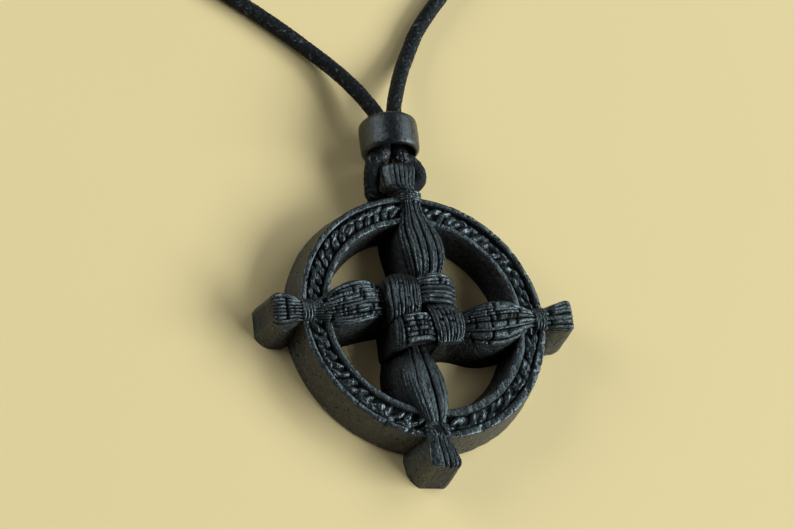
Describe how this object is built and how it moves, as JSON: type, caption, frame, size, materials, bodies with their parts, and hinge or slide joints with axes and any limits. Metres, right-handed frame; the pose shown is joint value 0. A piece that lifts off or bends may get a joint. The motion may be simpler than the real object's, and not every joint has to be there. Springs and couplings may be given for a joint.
{
  "type": "ringed cross pendant on a neck cord",
  "caption": "Carved dark wooden pendant, a woven reed cross over a plaited ring, on a black waxed cord gathered by a barrel bead.",
  "frame": {"origin": "centre of the ring on the pendant's flat back, which lies on the surface", "axes": "+Z out of the carved face, +Y towards the end block that the cord passes through, +X to the right as the face is read"},
  "size_m": [0.1802, 0.2945, 0.0074],
  "materials": {
    "carved_wood": "hand carved, near black, oiled satin with open grain",
    "bead_black": "turned and stained black, smooth satin",
    "waxed_cord": "braided and waxed, black with a dull sheen"
  },
  "bodies": {
    "root": {"ringed_cross": "carved_wood", "bead": "bead_black", "neck_cord": "waxed_cord", "cord_knot": "waxed_cord"}
  },
  "joints": []
}
